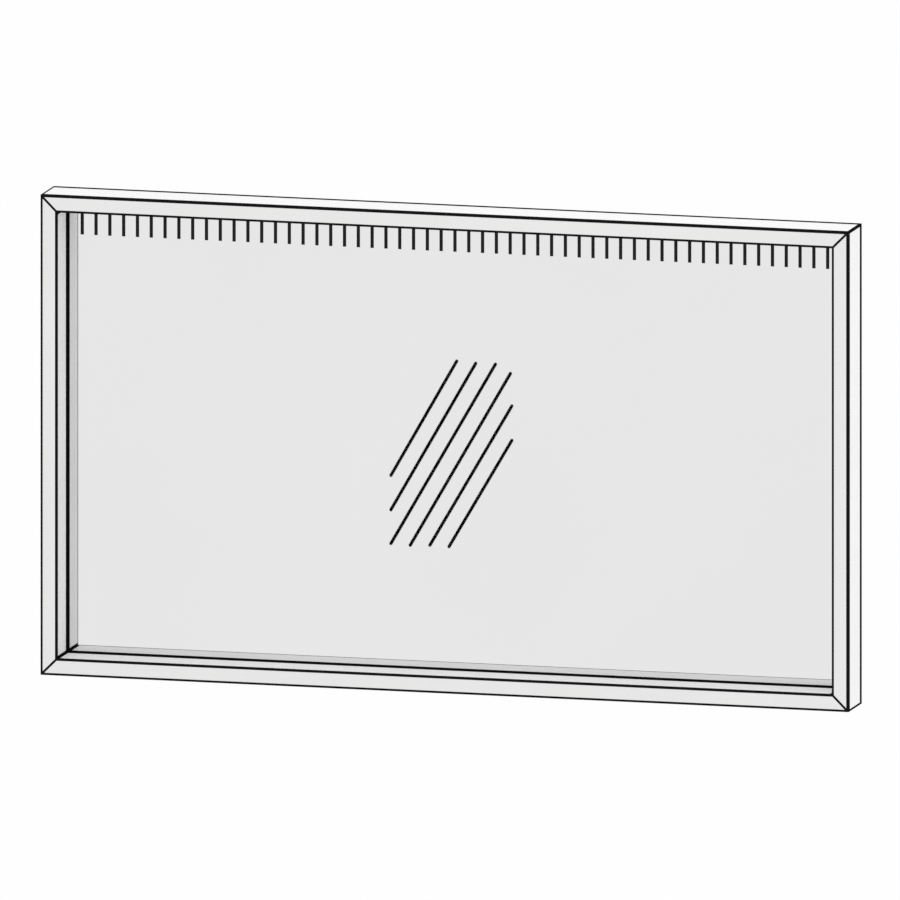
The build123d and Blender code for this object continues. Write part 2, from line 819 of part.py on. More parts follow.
# Rocker: two flats that meet in a shallow valley, ends round about the pivot
rocker_radius = cavity_length / 2 - rocker_fit
throw = math.radians(rocker_throw)
valley_x = -rocker_face * math.tan(throw / 2)
raised_x = valley_x + rocker_radius * math.cos(throw)
raised_drop = rocker_face + rocker_radius * math.sin(throw)
with BuildPart() as switch_rocker:
    with BuildSketch(pivot_plane) as rocker_outline:
        with BuildLine():
            Polyline(
                (-rocker_radius, rocker_face),
                (valley_x, rocker_face),
                (raised_x, raised_drop),
                (rocker_radius, -rocker_back),
                (-rocker_radius, -rocker_back),
                close=True,
            )
        make_face()
        Circle(rocker_radius, mode=Mode.INTERSECT)
    extrude(rocker_outline.sketch, amount=cavity_width / 2 - rocker_fit, both=True)
    with BuildSketch(pivot_plane) as pivot_outline:
        Circle(pivot_radius)
    extrude(pivot_outline.sketch, amount=pivot_reach, both=True)
finish(switch_rocker, "switch_rocker")

print("lamp lead bends", [round(bend, 1) for bend in lamp_lead_bends])
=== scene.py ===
import math

import bmesh
import bpy
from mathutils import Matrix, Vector


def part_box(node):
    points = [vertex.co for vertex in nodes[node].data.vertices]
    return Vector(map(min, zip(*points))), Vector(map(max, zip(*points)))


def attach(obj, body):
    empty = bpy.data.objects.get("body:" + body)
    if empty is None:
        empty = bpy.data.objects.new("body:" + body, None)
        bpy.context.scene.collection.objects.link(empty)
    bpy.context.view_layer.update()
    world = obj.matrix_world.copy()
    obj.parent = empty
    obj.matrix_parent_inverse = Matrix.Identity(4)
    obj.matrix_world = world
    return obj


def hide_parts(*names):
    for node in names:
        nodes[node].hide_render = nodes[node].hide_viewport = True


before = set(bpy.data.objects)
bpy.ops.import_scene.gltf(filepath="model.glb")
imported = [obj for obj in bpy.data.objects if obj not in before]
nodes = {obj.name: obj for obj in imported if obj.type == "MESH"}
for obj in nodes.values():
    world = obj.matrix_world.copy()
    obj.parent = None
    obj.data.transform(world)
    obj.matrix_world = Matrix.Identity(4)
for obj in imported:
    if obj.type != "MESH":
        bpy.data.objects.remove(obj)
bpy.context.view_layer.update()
print("frame loaded", len(nodes), "nodes")

# Places on the mirror, read from the CAD pieces
frameLow = Vector(map(min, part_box("frame_left")[0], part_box("frame_bottom")[0]))
frameHigh = Vector(map(max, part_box("frame_right")[1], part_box("frame_top")[1]))
frameMiddle = (frameLow + frameHigh) / 2
halfWidth = (frameHigh.x - frameLow.x) / 2
halfHeight = (frameHigh.z - frameLow.z) / 2
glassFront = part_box("mirror_glass")[0].y


# Small helpers for shader nodes

noiseReach = (0.3, 0.7)  # nearly all of a noise lies between these
cloudDetail = 3.0  # of the slow drift between two tones
plainWhite = (1.0, 1.0, 1.0, 1.0)


def addNode(tree, kind, settings=None, **values):
    node = tree.nodes.new("ShaderNode" + kind)
    for name, value in (settings or {}).items():
        setattr(node, name, value)
    for name, value in values.items():
        socket = node.inputs[int(name[1:])] if name[1:].isdigit() else node.inputs[name]
        if isinstance(value, bpy.types.NodeSocket):
            tree.links.new(value, socket)
        else:
            socket.default_value = value
    return node


def maths(tree, operation, *values):
    numbered = {f"i{place}": value for place, value in enumerate(values)}
    return addNode(tree, "Math", {"operation": operation}, **numbered).outputs[0]


def startMaterial(name, look):
    material = bpy.data.materials.new(name)
    material.use_nodes = True
    tree = material.node_tree
    shader = tree.nodes["Principled BSDF"]
    shader.inputs["Metallic"].default_value = look.get("metallic", 0.0)
    shader.inputs["Roughness"].default_value = look.get("roughness", 0.5)
    shader.inputs["Specular IOR Level"].default_value = look.get("specular", 0.5)
    place = addNode(tree, "TexCoord").outputs["Object"]
    return material, tree, shader, place


def stretched(tree, place, stretch):
    return addNode(tree, "Mapping", Vector=place, Scale=stretch).outputs["Vector"]


def noise(tree, place, perMetre, detail=2.0):
    texture = addNode(tree, "TexNoise", Vector=place, Scale=perMetre, Detail=detail)
    return texture.outputs["Fac"]


def between(tree, factor, dark, light):
    mix = addNode(tree, "Mix", {"data_type": "RGBA"})
    tree.links.new(factor, mix.inputs[0])
    for socket, value in ((mix.inputs[6], dark), (mix.inputs[7], light)):
        if isinstance(value, bpy.types.NodeSocket):
            tree.links.new(value, socket)
        else:
            socket.default_value = (*value, 1.0)
    return mix.outputs[2]


def spread(tree, factor, low, high):
    start, end = noiseReach
    values = {"From Min": start, "From Max": end, "To Min": low, "To Max": high}
    ranged = addNode(tree, "MapRange", **values)
    tree.links.new(factor, ranged.inputs["Value"])
    return ranged.outputs["Result"]


def bumpFrom(tree, shader, height, depth):
    bump = addNode(tree, "Bump", Strength=1.0, Distance=depth, Height=height)
    tree.links.new(bump.outputs["Normal"], shader.inputs["Normal"])


# The frame's satin coat, with a fine dark line drawn along every arris and mitre, its front
# painted darker as shade and its reveals painted lighter as light

coat = {
    # painted shade and light: the front is coloured darker than the outer sides, the reveals
    # lighter
    "front": (0.83, 0.83, 0.826),
    "sides": (0.92, 0.92, 0.917),
    "revealsPaintedLight": (0.965, 0.965, 0.962),  # painted light: the reveals round the glass are coloured whiter than the sides, to offset the recess's shade
    "cloud": 0.975,  # how far the tone drifts over the frame
    "cloudPerMetre": 9.0,
    "speck": 0.98,  # how far it drifts over the coat's own grain
    "line": (0.008, 0.008, 0.009),
    "meeting": 1.5,  # a line is drawn where more than one plane is near
    "lineWidth": 0.0034,  # on the front
    "sideWidth": 0.008,  # on the outer sides, beside the front
    "revealWidth": 0.004,  # on the reveals, beside the front
    "mitreLine": 0.0024,  # along x or z, either side of the mitre
    "rearWidth": 0.011,  # on the outer sides, beside the wall
    "seatWidth": 0.009,  # on the reveals, beside the glass
    "faceWidth": 0.025,  # outer side to the opening
    "faceDepth": 0.0009,  # how far the front tone wraps round the arris
    "roughness": 0.42,
    "smoothest": 0.38,  # the peel moves the roughness between these two
    "roughest": 0.47,
    "specular": 0.18,
    "peelPerMetre": 420.0,
    "peelDepth": 0.00008,
}


def makeCoat():
    material, tree, shader, place = startMaterial("frameCoat", coat)
    at = addNode(tree, "SeparateXYZ", Vector=place).outputs
    across = maths(tree, "ABSOLUTE", maths(tree, "SUBTRACT", at["X"], frameMiddle.x))
    upDown = maths(tree, "ABSOLUTE", maths(tree, "SUBTRACT", at["Z"], frameMiddle.z))
    width = coat["lineWidth"]
    innerX, innerZ = halfWidth - coat["faceWidth"], halfHeight - coat["faceWidth"]
    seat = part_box("glazing_gasket")[0].y

    def near(value, target, reach=width):
        return maths(tree, "COMPARE", value, target, reach)

    innerSide = maths(
        tree,
        "MULTIPLY",
        near(across, innerX),
        maths(tree, "LESS_THAN", upDown, innerZ + width),
    )
    innerEnd = maths(
        tree,
        "MULTIPLY",
        near(upDown, innerZ),
        maths(tree, "LESS_THAN", across, innerX + width),
    )
    besideGlass = near(at["Y"], seat, coat["seatWidth"])
    seatLine = maths(
        tree, "MULTIPLY", besideGlass, maths(tree, "MAXIMUM", innerSide, innerEnd)
    )
    inside = maths(
        tree,
        "MULTIPLY",
        maths(tree, "LESS_THAN", across, innerX + coat["faceDepth"]),
        maths(tree, "LESS_THAN", upDown, innerZ + coat["faceDepth"]),
    )
    narrower = coat["revealWidth"] - coat["sideWidth"]
    frontReach = maths(tree, "MULTIPLY_ADD", inside, narrower, coat["sideWidth"])
    planes = near(across, halfWidth)
    for plane in (
        seatLine,
        near(upDown, halfHeight),
        near(at["Y"], frameLow.y, frontReach),
        near(at["Y"], frameHigh.y, coat["rearWidth"]),
        innerSide,
        innerEnd,
    ):
        planes = maths(tree, "ADD", planes, plane)
    arris = maths(tree, "GREATER_THAN", planes, coat["meeting"])
    fromSide = maths(tree, "SUBTRACT", halfWidth, across)
    fromEnd = maths(tree, "SUBTRACT", halfHeight, upDown)
    mitre = maths(
        tree,
        "MULTIPLY",
        near(maths(tree, "SUBTRACT", fromSide, fromEnd), 0.0, coat["mitreLine"]),
        near(at["Y"], frameLow.y),
    )
    line = maths(tree, "MAXIMUM", arris, mitre)
    # painted light and shade: one coat, coloured darker on the front and lighter on the
    # reveals than on the outer sides
    inFront = near(at["Y"], frameLow.y, coat["faceDepth"])
    sidesRevealsPaintedLight = between(tree, inside, coat["sides"], coat["revealsPaintedLight"])
    tonePaintedLightShade = between(tree, inFront, sidesRevealsPaintedLight, coat["front"])
    peel = noise(tree, place, coat["peelPerMetre"])
    slow = noise(tree, place, coat["cloudPerMetre"], cloudDetail)
    cloud = spread(tree, slow, coat["cloud"], 1.0)
    drift = maths(tree, "MULTIPLY", cloud, spread(tree, peel, coat["speck"], 1.0))
    drifted = addNode(tree, "VectorMath", {"operation": "SCALE"}, i0=tonePaintedLightShade, Scale=drift)
    plain = drifted.outputs["Vector"]
    tree.links.new(between(tree, line, plain, coat["line"]), shader.inputs["Base Color"])
    # the drawn lines are matt, the coat is satin
    shine = maths(tree, "MULTIPLY", maths(tree, "SUBTRACT", 1.0, line), coat["specular"])
    tree.links.new(shine, shader.inputs["Specular IOR Level"])
    rough = spread(tree, peel, coat["smoothest"], coat["roughest"])
    tree.links.new(rough, shader.inputs["Roughness"])
    bumpFrom(tree, shader, peel, coat["peelDepth"])
    return material


# The silvered glass

glass = {
    "light": (0.812, 0.812, 0.812),
    "dark": (0.797, 0.799, 0.798),
    "metallic": 1.0,
    "roughness": 0.012,
    "cloudPerMetre": 2.5,
}


def makeGlass():
    material, tree, shader, place = startMaterial("silveredGlass", glass)
    cloud = noise(tree, place, glass["cloudPerMetre"], cloudDetail)
    tint = between(tree, spread(tree, cloud, 0.0, 1.0), glass["dark"], glass["light"])
    tree.links.new(tint, shader.inputs["Base Color"])
    return material


# Plain finishes: two tones, their grain per metre, and how deep the grain stands

grainPerCloud = 12.0  # the tones drift this much more slowly than the grain
roughDrift = 0.05  # of the roughness, either way

finishes = {
    "lineEnamel": dict(dark=(0.004, 0.004, 0.005), light=(0.008, 0.008, 0.009), roughness=0.4,
                       specular=0.15, grain=160.0, depth=0.00002),
    "blackRubber": dict(dark=(0.016, 0.016, 0.017), light=(0.03, 0.03, 0.031), roughness=0.68,
                        grain=380.0, depth=0.00008),
    "greyFoam": dict(dark=(0.13, 0.13, 0.14), light=(0.24, 0.24, 0.25), roughness=0.9,
                     grain=500.0, depth=0.0003),
    "screwSteel": dict(dark=(0.56, 0.57, 0.60), light=(0.72, 0.73, 0.75), metallic=1.0,
                       roughness=0.3, grain=260.0, depth=0.00002),
    "keyAluminium": dict(dark=(0.66, 0.66, 0.67), light=(0.76, 0.76, 0.77), metallic=1.0,
                         roughness=0.4, grain=180.0, depth=0.00002),
    "whiteBoard": dict(dark=(0.80, 0.81, 0.80), light=(0.88, 0.89, 0.88), roughness=0.35,
                       grain=90.0, depth=0.00001),
    "lampChip": dict(dark=(0.78, 0.66, 0.20), light=(0.88, 0.78, 0.34), roughness=0.4,
                     grain=900.0, depth=0.00002),
    "whitePlastic": dict(dark=(0.76, 0.76, 0.75), light=(0.82, 0.82, 0.81), roughness=0.45,
                         grain=300.0, depth=0.00003),
    "driverPlastic": dict(dark=(0.62, 0.63, 0.64), light=(0.70, 0.71, 0.72), roughness=0.5,
                          grain=260.0, depth=0.00005),
    "leadSheath": dict(dark=(0.55, 0.55, 0.55), light=(0.66, 0.66, 0.66), roughness=0.55,
                       grain=240.0, depth=0.00003),
    "switchPlastic": dict(dark=(0.70, 0.70, 0.69), light=(0.78, 0.78, 0.77), roughness=0.38,
                          grain=420.0, depth=0.00003),
    "markInk": dict(dark=(0.02, 0.02, 0.02), light=(0.04, 0.04, 0.04), roughness=0.5,
                    grain=420.0, depth=0.00001),
}


def makeFinish(name):
    look = finishes[name]
    material, tree, shader, place = startMaterial(name, look)
    grain = noise(tree, place, look["grain"])
    cloud = noise(tree, place, look["grain"] / grainPerCloud, cloudDetail)
    tone = between(tree, spread(tree, cloud, 0.0, 1.0), look["dark"], look["light"])
    tree.links.new(tone, shader.inputs["Base Color"])
    middle = look["roughness"]
    rough = spread(tree, grain, middle - roughDrift, middle + roughDrift)
    tree.links.new(rough, shader.inputs["Roughness"])
    bumpFrom(tree, shader, grain, look["depth"])
    return material


# Sheet steel with its zinc spangle, and the brushed rails

sheet = {
    "dark": (0.50, 0.51, 0.52),
    "light": (0.66, 0.67, 0.68),
    "metallic": 0.85,
    "smoothest": 0.34,
    "roughest": 0.48,
    "spanglePerMetre": 85.0,
    "spangleDepth": 0.00003,
    "cloudPerMetre": 14.0,
    "cloudDetail": 4.0,
}
brushed = {
    "dark": (0.62, 0.62, 0.63),
    "light": (0.78, 0.78, 0.79),
    "metallic": 1.0,
    "smoothest": 0.3,
    "roughest": 0.42,
    "linesPerMetre": 900.0,
    "linesDetail": 3.0,
    "lineDepth": 0.00002,
    "stretch": (0.02, 1.0, 1.0),  # the lines run along the rail
}


def makeSheet():
    material, tree, shader, place = startMaterial("sheetSteel", sheet)
    cells = addNode(tree, "TexVoronoi", Vector=place, Scale=sheet["spanglePerMetre"])
    shade = addNode(tree, "SeparateColor", Color=cells.outputs["Color"]).outputs[0]
    cloud = noise(tree, place, sheet["cloudPerMetre"], sheet["cloudDetail"])
    tone = maths(tree, "MULTIPLY", maths(tree, "ADD", shade, cloud), 0.5)  # half of each
    tint = between(tree, tone, sheet["dark"], sheet["light"])
    tree.links.new(tint, shader.inputs["Base Color"])
    rough = spread(tree, tone, sheet["smoothest"], sheet["roughest"])
    tree.links.new(rough, shader.inputs["Roughness"])
    bumpFrom(tree, shader, shade, sheet["spangleDepth"])
    return material


def makeBrushed():
    material, tree, shader, place = startMaterial("railAluminium", brushed)
    along = stretched(tree, place, brushed["stretch"])
    lines = noise(tree, along, brushed["linesPerMetre"], brushed["linesDetail"])
    tint = between(tree, spread(tree, lines, 0.0, 1.0), brushed["dark"], brushed["light"])
    tree.links.new(tint, shader.inputs["Base Color"])
    rough = spread(tree, lines, brushed["smoothest"], brushed["roughest"])
    tree.links.new(rough, shader.inputs["Roughness"])
    bumpFrom(tree, shader, lines, brushed["lineDepth"])
    return material


# Opal lens, faintly lit from inside

opal = {
    "dark": (0.86, 0.86, 0.84),
    "light": (0.92, 0.92, 0.90),
    "roughness": 0.35,
    "glow": (1.0, 0.96, 0.9, 1.0),
    "glowStrength": 0.35,
    "cloudPerMetre": 120.0,
    "cloudDepth": 0.00002,
}


def makeOpal():
    material, tree, shader, place = startMaterial("opalLens", opal)
    cloud = noise(tree, place, opal["cloudPerMetre"])
    tint = between(tree, spread(tree, cloud, 0.0, 1.0), opal["dark"], opal["light"])
    tree.links.new(tint, shader.inputs["Base Color"])
    shader.inputs["Emission Color"].default_value = opal["glow"]
    shader.inputs["Emission Strength"].default_value = opal["glowStrength"]
    bumpFrom(tree, shader, cloud, opal["cloudDepth"])
    return material


made = {name: makeFinish(name) for name in finishes}
made.update(
    frameCoat=makeCoat(),
    silveredGlass=makeGlass(),
    sheetSteel=makeSheet(),
    railAluminium=makeBrushed(),
    opalLens=makeOpal(),
)

wears = {
    "frameCoat": ("frame_top", "frame_right", "frame_bottom", "frame_left"),
    "keyAluminium": ("front_corner_keys", "rear_corner_keys", "lamp_channel"),
    "silveredGlass": ("mirror_glass",),
    "lineEnamel": ("engraved_line_fill",),
    "blackRubber": ("glazing_gasket", "setting_blocks", "wall_bumpers", "cable_grommet"),
    "greyFoam": ("backing_foam", "mounting_tape"),
    "sheetSteel": ("back_panel",),
    "screwSteel": ("panel_screws", "rail_screws"),
    "railAluminium": ("hanging_rail", "wall_rail"),
    "whiteBoard": ("lamp_board",),
    "lampChip": ("lamp_chips",),
    "opalLens": ("lamp_lens",),
    "whitePlastic": ("lamp_end_caps", "terminal_block", "lead_clips"),
    "driverPlastic": ("driver_case", "driver_end_covers"),
    "leadSheath": ("mains_leads", "lamp_lead", "switch_lead"),
    "switchPlastic": ("switch_housing", "switch_rocker"),
}
for finishName, names in wears.items():
    for name in names:
        mesh = nodes[name].data
        mesh.materials.clear()
        mesh.materials.append(made[finishName])
bare = sorted(set(nodes) - {name for names in wears.values() for name in names})
print("finishes made", len(made), "nodes without one", bare)


# Screws at the back: pan heads with a cross recess, one tree for both lengths

screw = {
    "Shank Radius": 0.0016,
    "Head Radius": 0.0034,
    "Shoulder Radius": 0.0031,
    "Crown Radius": 0.0019,
    "Head Height": 0.0019,
    "Recess Length": 0.0034,
    "Recess Width": 0.0007,
    "Recess Depth": 0.0010,
}
headSeat = 0.002  # from the top of a CAD head down to its seat
coneSides = 24


def addTreeNode(tree, kind, **values):
    node = tree.nodes.new("GeometryNode" + kind)
    for name, value in values.items():
        if isinstance(value, bpy.types.NodeSocket):
            tree.links.new(value, node.inputs[name.replace("_", " ")])
        else:
            node.inputs[name.replace("_", " ")].default_value = value
    return node


def treeMaths(tree, operation, first, second):
    node = tree.nodes.new("ShaderNodeMath")
    node.operation = operation
    for socket, value in zip(node.inputs, (first, second)):
        if isinstance(value, bpy.types.NodeSocket):
            tree.links.new(value, socket)
        else:
            socket.default_value = value
    return node.outputs[0]


def treeVector(tree, **values):
    node = tree.nodes.new("ShaderNodeCombineXYZ")
    for name, value in values.items():
        if isinstance(value, bpy.types.NodeSocket):
            tree.links.new(value, node.inputs[name])
        else:
            node.inputs[name].default_value = value
    return node.outputs[0]


def moved(tree, geometry, height):
    shift = treeVector(tree, Z=height)
    return addTreeNode(tree, "Transform", Geometry=geometry, Translation=shift).outputs[0]


def makeScrewTree():
    tree = bpy.data.node_groups.new("screws", "GeometryNodeTree")
    tree.is_modifier = True
    tree.interface.new_socket("Geometry", in_out="INPUT", socket_type="NodeSocketGeometry")
    tree.interface.new_socket("Geometry", in_out="OUTPUT", socket_type="NodeSocketGeometry")
    for name in ("Shank Length", *screw):
        tree.interface.new_socket(name, in_out="INPUT", socket_type="NodeSocketFloat")
    tree.interface.new_socket("Material", in_out="INPUT", socket_type="NodeSocketMaterial")
    given = tree.nodes.new("NodeGroupInput").outputs
    half = treeMaths(tree, "MULTIPLY", given["Head Height"], 0.5)

    def cone(bottom, top, start, depth):
        shape = addTreeNode(tree, "MeshCone", Vertices=coneSides, Radius_Top=top,
                            Radius_Bottom=bottom, Depth=depth)
        return moved(tree, shape.outputs["Mesh"], start)

    foot = treeMaths(tree, "MULTIPLY", given["Shank Length"], -1.0)
    shank = cone(given["Shank Radius"], given["Shank Radius"], foot,
                 treeMaths(tree, "ADD", given["Shank Length"], half))
    lower = cone(given["Head Radius"], given["Shoulder Radius"], 0.0, half)
    upper = cone(given["Shoulder Radius"], given["Crown Radius"], half, half)
    solid = addTreeNode(tree, "MeshBoolean")
    solid.operation = "UNION"
    for shell in (shank, lower, upper):
        tree.links.new(shell, solid.inputs["Mesh 2"])
    tall = treeMaths(tree, "MULTIPLY", given["Recess Depth"], 2.0)
    cut = addTreeNode(tree, "MeshBoolean")
    cut.operation = "DIFFERENCE"
    tree.links.new(solid.outputs["Mesh"], cut.inputs["Mesh 1"])
    for sizes in (
        dict(X=given["Recess Length"], Y=given["Recess Width"], Z=tall),
        dict(X=given["Recess Width"], Y=given["Recess Length"], Z=tall),
    ):
        bar = addTreeNode(tree, "MeshCube", Size=treeVector(tree, **sizes)).outputs["Mesh"]
        tree.links.new(moved(tree, bar, given["Head Height"]), cut.inputs["Mesh 2"])
    placed = addTreeNode(tree, "InstanceOnPoints", Points=given["Geometry"],
                         Instance=cut.outputs["Mesh"], Rotation=(-math.pi / 2, 0.0, 0.0))
    real = addTreeNode(tree, "RealizeInstances", Geometry=placed.outputs["Instances"])
    painted = addTreeNode(tree, "SetMaterial", Geometry=real.outputs["Geometry"],
                          Material=given["Material"])
    tree.links.new(painted.outputs["Geometry"], tree.nodes.new("NodeGroupOutput").inputs[0])
    return tree


# The middle of each loose screw in a CAD node, seen from the wall
def headMiddles(name):
    mesh = bmesh.new()
    mesh.from_mesh(nodes[name].data)
    bmesh.ops.remove_doubles(mesh, verts=mesh.verts, dist=1e-6)
    found, left = [], set(mesh.verts)
    while left:
        group, front = set(), {left.pop()}
        while front:
            group |= front
            front = {e.other_vert(v) for v in front for e in v.link_edges} - group
        left -= group
        xs, zs = [v.co.x for v in group], [v.co.z for v in group]
        found.append(((min(xs) + max(xs)) / 2, (min(zs) + max(zs)) / 2))
    mesh.free()
    return sorted(found)


def makeScrews(name, cadNode, tree):
    low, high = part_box(cadNode)
    seat = high.y - headSeat
    points = bpy.data.meshes.new(name + "Points")
    points.from_pydata([(x, seat, z) for x, z in headMiddles(cadNode)], [], [])
    holder = bpy.data.objects.new(name + "Points", points)
    bpy.context.scene.collection.objects.link(holder)
    modifier = holder.modifiers.new("screws", "NODES")
    modifier.node_group = tree
    sizes = {"Shank Length": seat - low.y, "Material": made["screwSteel"], **screw}
    for item in tree.interface.items_tree:
        if item.name in sizes:
            modifier[item.identifier] = sizes[item.name]
    evaluated = holder.evaluated_get(bpy.context.evaluated_depsgraph_get())
    mesh = bpy.data.meshes.new_from_object(evaluated)
    bpy.data.objects.remove(holder)
    mesh.name = name
    piece = bpy.data.objects.new(name, mesh)
    bpy.context.scene.collection.objects.link(piece)
    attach(piece, "mirror")
    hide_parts(cadNode)
    print(name, len(points.vertices), "screws", len(mesh.polygons), "faces")


screwTree = makeScrewTree()
makeScrews("panelScrewsCross", "panel_screws", screwTree)
makeScrews("railScrewsCross", "rail_screws", screwTree)


# On and off marks, inlaid in the two flats of the rocker

marks = {
    "valleyShift": -0.00038,  # the two flats meet this far from the pivot
    "pivotRise": 0.0025,  # pivot above the frame's underside
    "flatDrop": 0.0027,  # from the pivot down to where the flats meet
    "throw": 16.0,  # degrees between the flats
    "fromValley": 0.0042,  # to the middle of each mark
    "barLength": 0.0032,
    "barWidth": 0.0007,  # and the ring's
    "ringRadius": 0.0016,
    "ringSteps": 32,
    "sunk": 0.00012,
    "proud": 0.00004,
}


# The two outlines of a thin plate; an outline's second number runs front to back
def inlay(build, outline, middle, along, down):
    low = [middle + along * a + Vector((0, b, 0)) + down * marks["proud"] for a, b in outline]
    high = [place - down * (marks["proud"] + marks["sunk"]) for place in low]
    lowRing = [build.verts.new(place) for place in low]
    highRing = [build.verts.new(place) for place in high]
    return lowRing, highRing


def makeMarks():
    pivotX = (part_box("switch_housing")[0].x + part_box("switch_housing")[1].x) / 2
    pivotY = (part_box("switch_housing")[0].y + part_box("switch_housing")[1].y) / 2
    valleyZ = frameLow.z + marks["pivotRise"] - marks["flatDrop"]
    valley = Vector((pivotX + marks["valleyShift"], pivotY, valleyZ))
    tilt = math.radians(marks["throw"])
    build = bmesh.new()
    # bar on the level flat
    half, thin = marks["barLength"] / 2, marks["barWidth"] / 2
    level, drop = Vector((1, 0, 0)), Vector((0, 0, -1))
    middle = valley - level * marks["fromValley"]
    outline = [(-thin, -half), (thin, -half), (thin, half), (-thin, half)]
    low, high = inlay(build, outline, middle, level, drop)
    build.faces.new(low)
    build.faces.new(high[::-1])
    for place in range(len(outline)):
        after = (place + 1) % len(outline)
        build.faces.new((low[place], high[place], high[after], low[after]))
    # ring on the raised flat
    slope = Vector((math.cos(tilt), 0, -math.sin(tilt)))
    square = Vector((-math.sin(tilt), 0, -math.cos(tilt)))
    middle = valley + slope * marks["fromValley"]
    outer, inner, steps = [], [], marks["ringSteps"]
    for step in range(steps):
        turn = math.tau * step / steps
        spoke = (math.cos(turn), math.sin(turn))
        outer.append([part * marks["ringRadius"] for part in spoke])
        inner.append([part * (marks["ringRadius"] - marks["barWidth"]) for part in spoke])
    outerLow, outerHigh = inlay(build, outer, middle, slope, square)
    innerLow, innerHigh = inlay(build, inner, middle, slope, square)
    for place in range(steps):
        after = (place + 1) % steps
        for first, second in (
            (outerLow, outerHigh),
            (outerHigh, innerHigh),
            (innerHigh, innerLow),
            (innerLow, outerLow),
        ):
            build.faces.new((first[place], second[place], second[after], first[after]))
    bmesh.ops.recalc_face_normals(build, faces=build.faces)
    mesh = bpy.data.meshes.new("rockerMarks")
    build.to_mesh(mesh)
    build.free()
    mesh.materials.append(made["markInk"])
    piece = bpy.data.objects.new("rockerMarks", mesh)
    bpy.context.scene.collection.objects.link(piece)
    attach(piece, "switch_rocker")


makeMarks()
print("rocker marked")


# The stage: pale floor, white surround, soft lamps

stage = {
    "floorDrop": 0.9,  # below the mirror, which hangs
    "floorSize": 60.0,
    "floorColour": (0.94, 0.94, 0.94, 1.0),
    "floorLook": {"roughness": 0.9, "specular": 0.0},
    "floorGlow": 0.9,  # share of plain white in the floor that the camera sees
    "surroundStrength": 0.96,
    "lamps": (
        # place, turned towards, size, watts
        ((0.6, -1.2, 2.6), (0.0, 0.0, -0.3), 3.0, 11.0),
        ((3.0, -0.6, 0.6), (0.0, 0.0, -0.3), 2.0, 5.0),
    ),
}


# Camera, mirror and lens rays see the plain white surround
def seesStage(tree):
    path = addNode(tree, "LightPath").outputs
    seen = maths(tree, "MAXIMUM", path["Is Camera Ray"], path["Is Glossy Ray"])
    return maths(tree, "MAXIMUM", seen, path["Is Transmission Ray"])


def makeSurround():
    world = bpy.data.worlds.new("surround")
    bpy.context.scene.world = world
    world.use_nodes = True
    tree = world.node_tree
    tree.nodes.clear()
    lit = addNode(tree, "Background", Color=plainWhite, Strength=stage["surroundStrength"])
    white = addNode(tree, "Background", Color=plainWhite, Strength=1.0)
    mix = addNode(tree, "MixShader", i0=seesStage(tree))
    tree.links.new(lit.outputs[0], mix.inputs[1])
    tree.links.new(white.outputs[0], mix.inputs[2])
    output = addNode(tree, "OutputWorld")
    tree.links.new(mix.outputs[0], output.inputs["Surface"])


def makeFloor():
    size = stage["floorSize"] / 2
    height = frameLow.z - stage["floorDrop"]
    mesh = bpy.data.meshes.new("floor")
    corners = ((-size, -size), (size, -size), (size, size), (-size, size))
    mesh.from_pydata([(x, y, height) for x, y in corners], [], [(0, 1, 2, 3)])
    floor = bpy.data.objects.new("floor", mesh)
    bpy.context.scene.collection.objects.link(floor)
    material, tree, shader, _ = startMaterial("paleFloor", stage["floorLook"])
    shader.inputs["Base Color"].default_value = stage["floorColour"]
    white = addNode(tree, "Emission", Strength=1.0)
    mostly = maths(tree, "MULTIPLY", seesStage(tree), stage["floorGlow"])
    mix = addNode(tree, "MixShader", i0=mostly)
    tree.links.new(shader.outputs[0], mix.inputs[1])
    tree.links.new(white.outputs[0], mix.inputs[2])
    # from below the floor is clear, so that the underside can be looked at
    clear = addNode(tree, "BsdfTransparent").outputs[0]
    facing = addNode(tree, "MixShader", i0=addNode(tree, "NewGeometry").outputs["Backfacing"])
    tree.links.new(mix.outputs[0], facing.inputs[1])
    tree.links.new(clear, facing.inputs[2])
    tree.links.new(facing.outputs[0], tree.nodes["Material Output"].inputs["Surface"])
    mesh.materials.append(material)


def addLamp(number, place, towards, size, watts):
    lamp = bpy.data.lights.new(f"softLamp{number}", "AREA")
    lamp.size = size
    lamp.energy = watts
    holder = bpy.data.objects.new(lamp.name, lamp)
    holder.location = place
    aim = Vector(towards) - Vector(place)
    holder.rotation_mode = "QUATERNION"
    holder.rotation_quaternion = aim.to_track_quat("-Z", "Y")
    holder.visible_glossy = False
    bpy.context.scene.collection.objects.link(holder)


makeSurround()
makeFloor()
for number, lamp in enumerate(stage["lamps"]):
    addLamp(number, *lamp)
print("stage set")


# Camera: parallel view from the right and a little above

camera = {
    "azimuth": 14.85,
    "elevation": 10.06,
    "across": 1.2919,  # metres over the picture
    "aimPixel": (451.13, 449.10),  # where the middle of the frame falls
    "pixels": 900,
    "distance": 6.0,
    "clipEnd": 40.0,
}
turn, rise = math.radians(camera["azimuth"]), math.radians(camera["elevation"])
flat = math.cos(rise)
back = Vector((math.sin(turn) * flat, -math.cos(turn) * flat, math.sin(rise)))
rightward = Vector((math.cos(turn), math.sin(turn), 0.0))
upward = back.cross(rightward)
metresPerPixel = camera["across"] / camera["pixels"]
aim = Vector((frameMiddle.x, frameLow.y / 2, frameMiddle.z))


# Metres right and up of the picture's middle
def pictureOffset(column, row):
    half = camera["pixels"] / 2
    return (column - half) * metresPerPixel, (half - row) * metresPerPixel


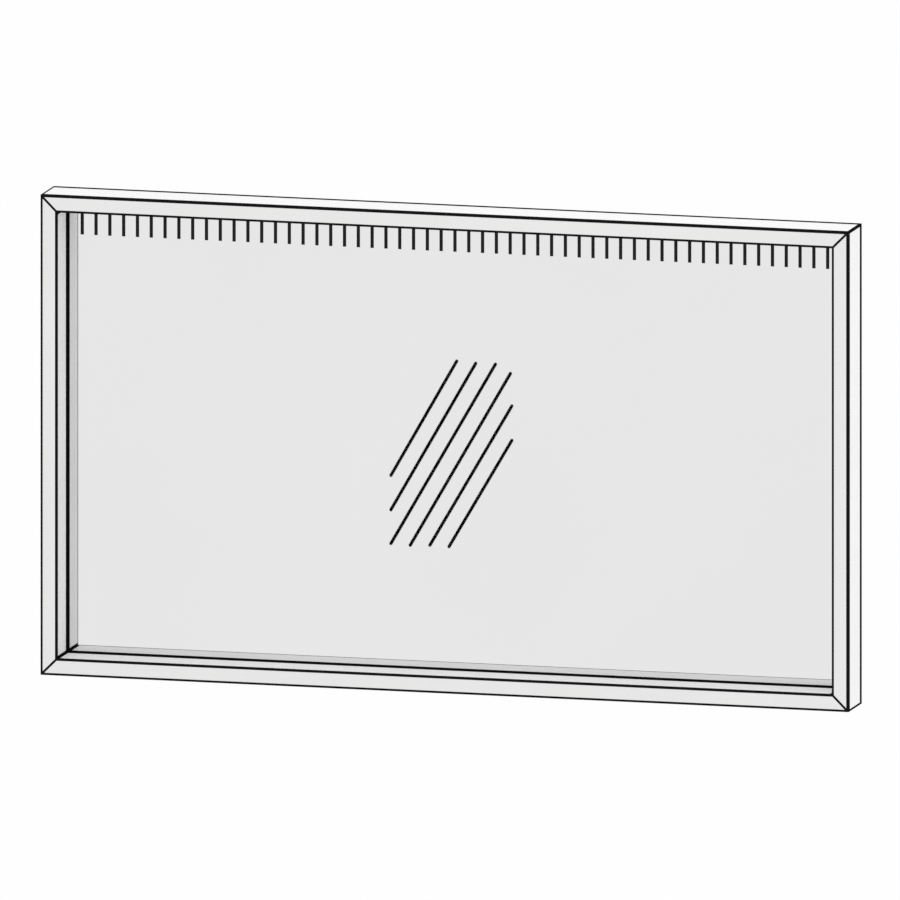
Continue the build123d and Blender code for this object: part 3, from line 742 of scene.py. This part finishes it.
def makeCamera():
    data = bpy.data.cameras.new("camera")
    data.type = "ORTHO"
    data.ortho_scale = camera["across"]
    data.clip_end = camera["clipEnd"]
    holder = bpy.data.objects.new("camera", data)
    right, up = pictureOffset(*camera["aimPixel"])
    holder.location = aim - rightward * right - upward * up + back * camera["distance"]
    holder.rotation_mode = "QUATERNION"
    holder.rotation_quaternion = (-back).to_track_quat("-Z", "Y")
    bpy.context.scene.collection.objects.link(holder)
    bpy.context.scene.camera = holder


makeCamera()


# Slim dark flags in front, which the glass reflects as slanted strokes

flags = {
    "reach": 0.9,  # along the reflected view
    "width": 0.0048,
    "endSteps": 6,  # round each end
    "colour": (0.0, 0.0, 0.0, 1.0),
    "look": {"roughness": 1.0, "specular": 0.0},
    "strokes": (
        # column and row of the upper end, then of the lower end
        (456.8, 361.0, 390.9, 475.4),
        (475.8, 363.2, 390.9, 509.8),
        (495.5, 364.1, 390.9, 543.5),
        (510.5, 373.4, 410.2, 545.3),
        (511.9, 405.9, 429.8, 545.3),
        (511.9, 440.3, 449.0, 546.7),
    ),
}


def onGlass(column, row):
    right, up = pictureOffset(column, row)
    shiftRight, shiftUp = pictureOffset(*camera["aimPixel"])
    start = aim + rightward * (right - shiftRight) + upward * (up - shiftUp)
    return start - back * ((start.y - glassFront) / back.y)


def makeFlags():
    mirrored = Vector((-back.x, back.y, -back.z))
    build = bmesh.new()
    steps = flags["endSteps"]
    for stroke in flags["strokes"]:
        ends = [onGlass(*tip) + mirrored * flags["reach"] for tip in (stroke[:2], stroke[2:])]
        along = (ends[1] - ends[0]).normalized()
        aside = along.cross(Vector((0, 1, 0))) * flags["width"] / 2
        ring = []
        for place, outward in ((ends[0], -along), (ends[1], along)):
            for step in range(steps + 1):
                angle = math.pi * (step / steps - 0.5)
                side = 1 if outward == along else -1
                tip = outward * math.cos(angle) * flags["width"] / 2
                ring.append(build.verts.new(place + tip + aside * side * math.sin(angle)))
        build.faces.new(ring)
    mesh = bpy.data.meshes.new("reflectionFlags")
    build.to_mesh(mesh)
    build.free()
    holder = bpy.data.objects.new("reflectionFlags", mesh)
    material, _, shader, _ = startMaterial("flagCloth", flags["look"])
    shader.inputs["Base Color"].default_value = flags["colour"]
    mesh.materials.append(material)
    for ray in ("camera", "diffuse", "transmission", "volume_scatter", "shadow"):
        setattr(holder, "visible_" + ray, False)
    bpy.context.scene.collection.objects.link(holder)


makeFlags()
bpy.context.scene.view_settings.view_transform = "Standard"
print("camera and flags set")
